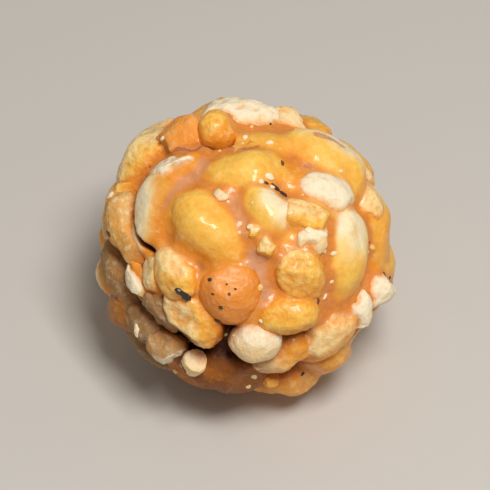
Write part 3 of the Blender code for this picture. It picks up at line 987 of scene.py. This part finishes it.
def drawnBits(draw, count, sizes, thickness, surfaces):  # each falls into the deepest of a few places drawn
    made = []
    for _ in range(count):
        found = [landing(randomWay(draw), surfaces) for _ in range(bits["ways"])]
        spot, out = min(found, key=lambda place: (place[0] - ball["centre"]).length)
        length = sizes[0] + (sizes[1] - sizes[0]) * draw.random() ** 2
        size = (length, length * draw.uniform(0.65, 1.0), length * draw.uniform(*thickness))
        made.append(bitAt(spot, out, randomWay(draw), size, draw.uniform(-0.6, 0.7)))
    return made


def bitTree():
    tree, given = newTree("layBits", {
        "Shape": "Object", "Crags": "Float", "Crag Span": "Float", "Material": "Material",
    })
    size, turn = readMark(tree, "size", "FLOAT_VECTOR"), readMark(tree, "turn", "QUATERNION")
    laid = laidOn(given, geometryOf(given.of("Shape")), turn, size)
    laid = node(tree, "GeometryNodeRealizeInstances", None, laid)
    place = node(tree, "GeometryNodeInputPosition")
    width = parts(size)[1]
    crags = noiseAt(scaled(place, 1.0 / width), given.of("Crag Span"), readMark(tree, "own"))
    offset = crags * given.of("Crags") * width
    laid = raised(moved(laid, scaled(node(tree, "GeometryNodeInputNormal"), offset)), place)
    return finishTree(laid, given, smooth=False)


def layBits(name, made, tree, shape, material):
    mesh = pointMesh(name, [bit.place for bit in made])
    sizes, turns, tones = [bit.size for bit in made], [bit.turn for bit in made], [bit.tone for bit in made]
    markPoints(mesh, turn=turns, size=sizes, tone=tones, own=[index * 3.7 for index in range(len(made))])
    obj = addObject(name, mesh)
    inputs = {"Shape": shape, "Crags": bits["crags"], "Crag Span": bits["cragSpan"], "Material": material}
    runTree(obj, tree, inputs)
    return obj


def bitShape():
    shape = bmesh.new()
    bmesh.ops.create_icosphere(shape, subdivisions=2, radius=1)
    return addObject("bitShape", meshOf("bitShape", shape))


paints = {
    "gold": rgb(252, 200, 86),
    "deepGold": rgb(236, 148, 36),
    # painted shade in hollows below the ball's surface, with the syrup's deepening
    "syrupAndShadeGold": rgb(190, 100, 20),
    # painted shade colours, for pieces with a tone below 0
    "shadeGold": rgb(128, 70, 18),
    "shadeBeige": rgb(140, 115, 84),
    "paleGold": rgb(251, 226, 166),
    "cream": rgb(247, 232, 200),
    "creamLow": rgb(240, 198, 126),
    "amber": rgb(230, 148, 62),
    "amberLow": rgb(210, 120, 44),
    "lightSyrup": rgb(244, 184, 100),
    # pinkish clouding of the syrup, partly a painted sheen
    "mauveCloudSheen": rgb(212, 152, 108),
    # burned streaks, and painted shade along creases and gaps
    "burnAndCreaseShade": rgb(182, 76, 18),
    # painted shade in deep gaps, with the deep colour of thick caramel
    "darkCaramelShade": rgb(70, 32, 10),
    "skin": rgb(250, 172, 78),
    "skinLow": rgb(230, 134, 54),
    "roasted": rgb(236, 194, 116),
    "roastedLow": rgb(206, 146, 66),
    "char": rgb(34, 28, 26),
    "charBrown": rgb(120, 60, 26),
}
textures = {
    "wide": (4.0 * mm, 2.0),  # a pattern's span and detail
    "mid": (1.8 * mm, 2.0),
    "glazeFine": (0.7 * mm, 3.0),
    "kernelFine": (0.9 * mm, 4.0),
    "bitFine": (0.5 * mm, 3.0),
    "glazeBump": 0.20 * mm,
    "kernelBump": 0.28 * mm,
    "bitBump": 0.12 * mm,
    "scatterDepth": 0.8 * mm,
    "scatterTints": (1.0, 0.5, 0.2),
    "specular": 0.35,
}


def newMaterial(name):
    material = bpy.data.materials.new(name)
    material.use_nodes = True
    tree = material.node_tree
    return material, tree, tree.nodes["Principled BSDF"]


def attributes(tree, names):
    return [node(tree, "ShaderNodeAttribute", {"attribute_name": name}).of("Fac") for name in names.split()]


def speckles(tree, *names):  # patterns of about 0 to 1
    place = node(tree, "ShaderNodeTexCoord").of("Object")
    return [
        node(tree, "ShaderNodeTexNoise", None, place, Scale=1 / span, Detail=detail, Roughness=0.55)
        for span, detail in (textures[name] for name in names)
    ]


def layered(colour, *layers):  # each layer: how much of it, which the node keeps from 0 to 1, and its paint
    for share, paint in layers:
        mixed = share.tree.nodes.new("ShaderNodeMix")
        mixed.data_type = "RGBA"
        over = paints[paint] if isinstance(paint, str) else paint
        for index, value in ((0, share), (6, colour), (7, over)):
            plug(mixed.inputs[index], value)
        colour = Wire(mixed.outputs[2])
    return colour


def crusted(grain, low, high, strength):  # darker in the crust's pits, lighter on its raised grain
    return ((1.0 - ease(grain, 0.34, 0.50)) * strength, low), (ease(grain, 0.52, 0.66) * strength, high)


def setSockets(shader, **values):
    for name, value in values.items():
        plug(shader.inputs[name.replace("_", " ")], value)


def setFood(shader, scatter, bumpDepth, height):  # light goes a little way into nuts and syrup
    setSockets(
        shader, Subsurface_Weight=scatter, Subsurface_Radius=textures["scatterTints"],
        Subsurface_Scale=textures["scatterDepth"], Specular_IOR_Level=textures["specular"],
        Normal=bump(height, bumpDepth),
    )


def bump(height, depth, strength=1.0):
    return node(height.tree, "ShaderNodeBump", None, Strength=strength, Distance=depth, Height=height)


def glazeMaterial():
    material, tree, shader = newMaterial("jaggeryGlaze")
    depth, hollow, tone, pale = attributes(tree, "depth hollow tone pale")
    skin, rich, gap, tint = attributes(tree, "skin rich gap tint")
    depth, hollow = depth / mm, hollow / mm
    wide, mid, fine = speckles(tree, "wide", "mid", "glazeFine")
    kernel = layered(  # the coated kernels, seen through the film
        kernelGold(tone, hollow - rich * 0.6, wide, fine),
        # pale sides, partly painted highlight
        (pale * (mid * 0.6 + 0.7), "paleGold"),
        (pale * 1.6 + mid * 0.6 - 1.2, "cream"),
        (ease(depth + wide * 0.3 - 0.15, 0.14, 0.42) * 0.5, "deepGold"),
        (skin * 0.9, "skin"),
        *crusted(mid * 0.5 + fine * 0.5, "deepGold", "paleGold", 0.22),
    )
    # painted shade in deep hollows and loose gaps, with the deep colour of thick caramel
    deepShade = ease(hollow + wide * 0.8 - rich * 1.4 + gap * 1.2, 1.9, 4.2)
    syrup = layered(
        paints["amberLow"],
        (fine * 1.6 + wide - 0.8, "amber"),
        (tint * -1.0, "lightSyrup"),
        # clouded syrup, partly a painted sheen
        ((tint + ease(depth * 0.5 + wide * 1.4 - 0.9, 0.30, 0.80) * 0.25) * (mid * 0.5 + 0.75), "mauveCloudSheen"),
        (deepShade, "darkCaramelShade"),
    )
    share = ease(depth + wide * 0.4 + fine * 0.3 - 0.35, 0.16, 0.62)
    # burned streaks and painted crease shade where the tint runs high
    burnAndShade = (tint + fine * 1.2 + mid * 0.6 - 1.8).share() * 0.85
    setSockets(
        shader, Base_Color=layered(kernel, (share, syrup), (burnAndShade, "burnAndCreaseShade")),
        Roughness=0.46 - share * 0.06 + fine * 0.16 + deepShade * 0.3,
        Coat_Weight=0.38 - deepShade * 0.38, Coat_Roughness=0.14,
    )
    setFood(shader, 0.15, textures["glazeBump"], fine * 0.45 + mid)
    return material


def kernelGold(tone, hollow, wide, fine):  # painted light and shade: brighter on top, deeper on the sides, deeper in hollows below the ball's surface, and painted shade where tone is below 0
    rise, = attributes(tone.tree, "rise")
    # painted shade: less gold on the sides and below the ball's surface
    under = ease(hollow, 0.0, 2.2) * 0.5 + (0.84 - rise).most(0.0) * 1.2
    return layered(
        paints["deepGold"],
        (wide * 1.1 + fine * 0.4 + tone * 0.6 - 0.30 - under, "gold"),
        (ease(hollow + fine * 0.4, 1.4, 3.6) * 0.8, "syrupAndShadeGold"),
        (tone * -2.0, "shadeGold"),
    )


def kernelMaterial(kind):
    material, tree, shader = newMaterial(kind.piece + "Finish")
    tone, pale, broken, worn, rough, wet = attributes(tree, "tone pale broken worn rough wet")
    hollow, rich = attributes(tree, "hollow rich")
    wet, hollow = wet / mm, hollow / mm - rich
    wide, mid, fine = speckles(tree, "wide", "mid", "kernelFine")
    # painted shade, from a tone below 0
    paintedShade = (tone * -3.0).share() * (1.0 - pale * 0.6)
    rim = 1.0 - ease(wet + fine * 0.6 - 0.2, 0.05, 0.60)
    warm = 0.7 - paintedShade * 0.45
    if kind.high:
        colour = layered(paints[kind.low], (wide * 0.9 + tone * 0.4 - 0.35 + broken * 0.2, kind.high))
    else:
        colour = kernelGold(tone, hollow, wide, fine)
    colour = layered(
        colour,
        # pale side, partly painted highlight
        ((pale * kind.whiteness + broken * 0.10) * (mid * 0.5 + 0.75), kind.top),
        (paintedShade * 0.9, kind.dim),
        *crusted(fine + worn * 0.15, kind.deep, kind.top, kind.crust * (1.0 - paintedShade * 0.7)),
        (ease(worn * rough * -0.5, 0.12, 0.50) * 0.5 * (1.0 - paintedShade * 0.8), kind.deep),
        (rim * warm, "deepGold"),
        # painted shade in hollows below the ball's surface
        (ease(hollow + fine * 0.8 - 0.2, 0.7, 2.6) * warm, "syrupAndShadeGold"),
        # painted shade in deep gaps
        (ease(hollow + wide, 2.4, 4.2) * 0.9, "darkCaramelShade"),
    )
    coat = (kind.gloss * (0.1 + wide * 0.4) + rim * 0.15) * (1.0 - paintedShade)
    roughness = 0.72 - kind.gloss * 0.32 + fine * 0.14 - rim * 0.15
    setSockets(
        shader, Base_Color=colour, Roughness=roughness.most(0.25),
        Coat_Weight=coat.share(), Coat_Roughness=0.18,
    )
    setFood(shader, 0.10, textures["kernelBump"], fine + mid * 0.5)
    return material


def bitMaterial(name, low, high, gloss):
    material, tree, shader = newMaterial(name + "Finish")
    fine, = speckles(tree, "bitFine")
    tone, = attributes(tree, "tone")
    setSockets(
        shader, Base_Color=layered(paints[low], (tone * 0.8 + fine * 0.8 - 0.3, high)),
        Roughness=0.75 - gloss * 0.3 + fine * 0.1, Coat_Weight=gloss * 0.4, Coat_Roughness=0.15,
        Normal=bump(fine, textures["bitBump"], 0.7),
    )
    return material


seats = allSeats()
cuts = chunkCuts(seats)
print("seats", len(seats))
bases = [addObject(name, kernelMesh(name, half)) for name, half in (("whole", False), ("half", True))]
kernelTrees = kernelTree()
sunk = setKernels("sunkKernels", seats, cuts, kernelTrees, bases, sink=1.0)
film = pourGlaze(sunk, glazeMaterial())
bpy.data.objects.remove(sunk)
print("glaze", len(film.data.polygons), "faces")

# dim: the painted shade colour for pieces with a tone below 0
Kind = namedtuple("Kind", "piece slot low high top deep dim whiteness gloss crust")
kinds = {  # with no low and high paints, a kernel is gold
    "glazed": Kind(
        "glazedKernels", "glazed_peanut", "", "", "paleGold", "deepGold", "shadeGold",
        whiteness=0.8, gloss=0.9, crust=0.26,
    ),
    "bare": Kind(
        "bareKernels", "bare_peanut", "creamLow", "cream", "cream", "creamLow", "shadeBeige",
        whiteness=1.1, gloss=0.15, crust=0.25,
    ),
    "roasted": Kind(
        "roastedKernels", "bare_peanut", "roastedLow", "roasted", "cream", "deepGold", "shadeBeige",
        whiteness=1.1, gloss=0.25, crust=0.45,
    ),
    "skin": Kind(
        "skinKernels", "peanut_skin", "skinLow", "skin", "cream", "deepGold", "shadeGold",
        whiteness=1.1, gloss=0.2, crust=0.12,
    ),
}
wetTrees = wetTree()
pieces = [(film, "jaggery")]
for finish, kind in kinds.items():
    chosen = [index for index, seat in enumerate(seats) if seat.finish == finish]
    material = kernelMaterial(kind)
    picked, pickedCuts = [seats[index] for index in chosen], [cuts[index] for index in chosen]
    obj = setKernels(kind.piece, picked, pickedCuts, kernelTrees, bases, material=material)
    runTree(obj, wetTrees, {"Glaze": film, "Material": material})
    pieces.append((obj, kind.slot))
    print(kind.piece, len(chosen), len(obj.data.polygons), "faces")
for base in bases:
    bpy.data.objects.remove(base)

bpy.context.view_layer.update()
graph = bpy.context.evaluated_depsgraph_get()
surfaces = [BVHTree.FromObject(obj, graph) for obj, slot in pieces]
draw = random.Random(bits["seed"])
crumbs = shownBits(shownCrumbs, surfaces)
crumbs += drawnBits(draw, bits["crumbCount"], bits["crumbSizes"], (0.4, 0.8), surfaces)
flakes = drawnBits(draw, bits["flakeCount"], bits["flakeSizes"], (0.10, 0.18), surfaces)
char = shownBits(shownChar, surfaces)
char += drawnBits(draw, bits["charCount"], bits["charSizes"], (0.3, 0.5), surfaces)
bitTrees, shape = bitTree(), bitShape()
for name, made, slot, low, high, gloss in (
    ("crumbs", crumbs, "bare_peanut", "creamLow", "cream", 0.3),
    ("skinFlakes", flakes, "peanut_skin", "charBrown", "amberLow", 0.4),
    ("charFlecks", char, "peanut_skin", "char", "charBrown", 0.6),
):
    obj = layBits(name, made, bitTrees, shape, bitMaterial(name, low, high, gloss))
    pieces.append((obj, slot))
    print(name, len(made), len(obj.data.polygons), "faces")
bpy.data.objects.remove(shape)

for obj, slot in pieces:
    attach(obj, "root")
    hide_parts("ladoo")

studio = {  # floor, light and camera
    "floor": rgb(204, 200, 194),
    "floorSize": 3.0,
    "target": (0.0, 0.0, 20.4 * mm),
    "lens": 250,
    "distance": 0.50,
    "keyColour": (1, 0.97, 0.94),
    "keyPower": 1.72,
    "keySize": 0.14,
    "keyWay": (0.18, -0.32, 0.93),
    "keyDistance": 0.45,
    "sky": (1.0, 0.95, 0.88, 1.0),
    "skyStrength": 0.25,
}

bpy.ops.mesh.primitive_plane_add(size=studio["floorSize"])
floor = bpy.context.object
floor.name = "floor"
floorMaterial, floorTree, floorShader = newMaterial("floorPaint")
floorShader.inputs["Base Color"].default_value = studio["floor"]
floorShader.inputs["Roughness"].default_value = 0.8
floor.data.materials.append(floorMaterial)


def aimed(obj, way, distance):  # set that far off, looking at the ball's middle
    obj.location = Vector(studio["target"]) + Vector(way) * distance
    obj.rotation_euler = (-Vector(way)).to_track_quat("-Z", "Y").to_euler()
    return obj


lamp = bpy.data.lights.new("key", "AREA")
lamp.energy = studio["keyPower"]
lamp.size = studio["keySize"]
lamp.color = studio["keyColour"]
aimed(addObject("key", lamp), studio["keyWay"], studio["keyDistance"])

world = bpy.context.scene.world or bpy.data.worlds.new("studio")
bpy.context.scene.world = world
world.use_nodes = True
world.node_tree.nodes["Background"].inputs["Color"].default_value = studio["sky"]
world.node_tree.nodes["Background"].inputs["Strength"].default_value = studio["skyStrength"]

camera = aimed(addObject("camera", bpy.data.cameras.new("camera")), toEye, studio["distance"])
camera.data.lens = studio["lens"]
camera.data.clip_start = 0.01
bpy.context.scene.camera = camera
bpy.context.scene.view_settings.view_transform = "Standard"
